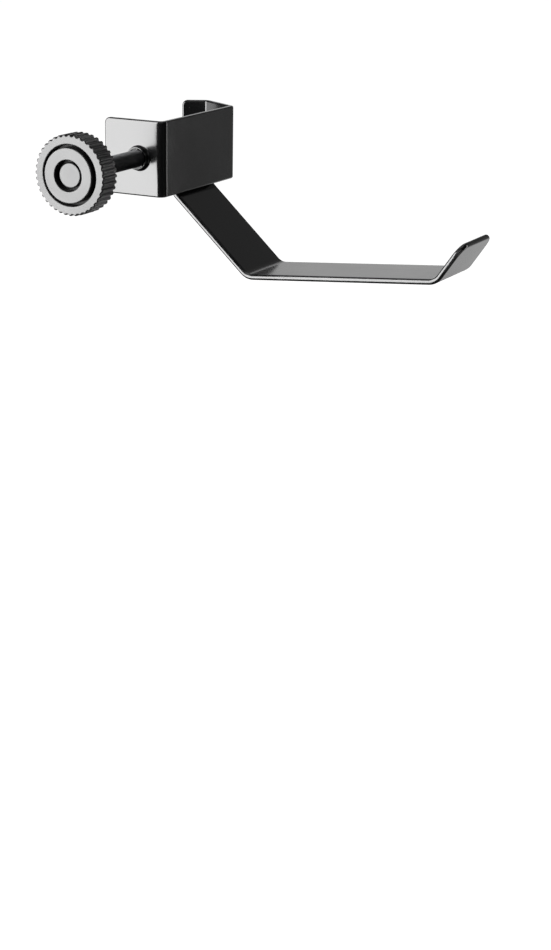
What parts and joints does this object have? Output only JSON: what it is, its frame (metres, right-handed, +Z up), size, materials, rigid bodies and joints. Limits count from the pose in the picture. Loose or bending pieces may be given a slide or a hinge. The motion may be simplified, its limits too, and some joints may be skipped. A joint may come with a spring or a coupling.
{
  "type": "headphone hook",
  "caption": "Bent steel headphone hook that clamps to a vertical post with a V jaw and a knurled hand screw.",
  "frame": {"origin": "on the axis of a 20 mm post seated in the V jaw, at the clamp's mid-height", "axes": "+Z up along the post, +X outwards along the hook arm, +Y from the hand knob towards the V jaw"},
  "size_m": [0.1318, 0.1048, 0.0549],
  "materials": {
    "coated_steel": "gloss black powder coat",
    "blacked_steel": "black oxide, satin",
    "knob_plastic": "satin black moulded plastic",
    "pad_plastic": "matt black moulded plastic"
  },
  "bodies": {
    "clamp": {"clamp_bracket": "coated_steel", "hook_arm": "coated_steel", "weld_bead_top": "coated_steel", "weld_bead_near": "coated_steel", "weld_bead_far": "coated_steel"},
    "pad": {"pressure_pad": "pad_plastic"},
    "hand_screw": {"clamp_screw": "blacked_steel", "knob_body": "knob_plastic", "knob_cap": "knob_plastic"}
  },
  "joints": [
    {"name": "screw_feed", "type": "slide", "parent": "clamp", "child": "pad", "axis": [0, 1, 0], "range_m": [-0.0191, 0.0211]},
    {"name": "knob_turn", "type": "hinge", "parent": "pad", "child": "hand_screw", "pos_m": [0.006, -0.02207, 0.0001], "axis": [0, 1, 0], "range_deg": [-6840, 7560]}
  ],
  "couplings": [
    {"joint": "screw_feed", "follows": "knob_turn", "m_per_rad": 0.00015915}
  ]
}
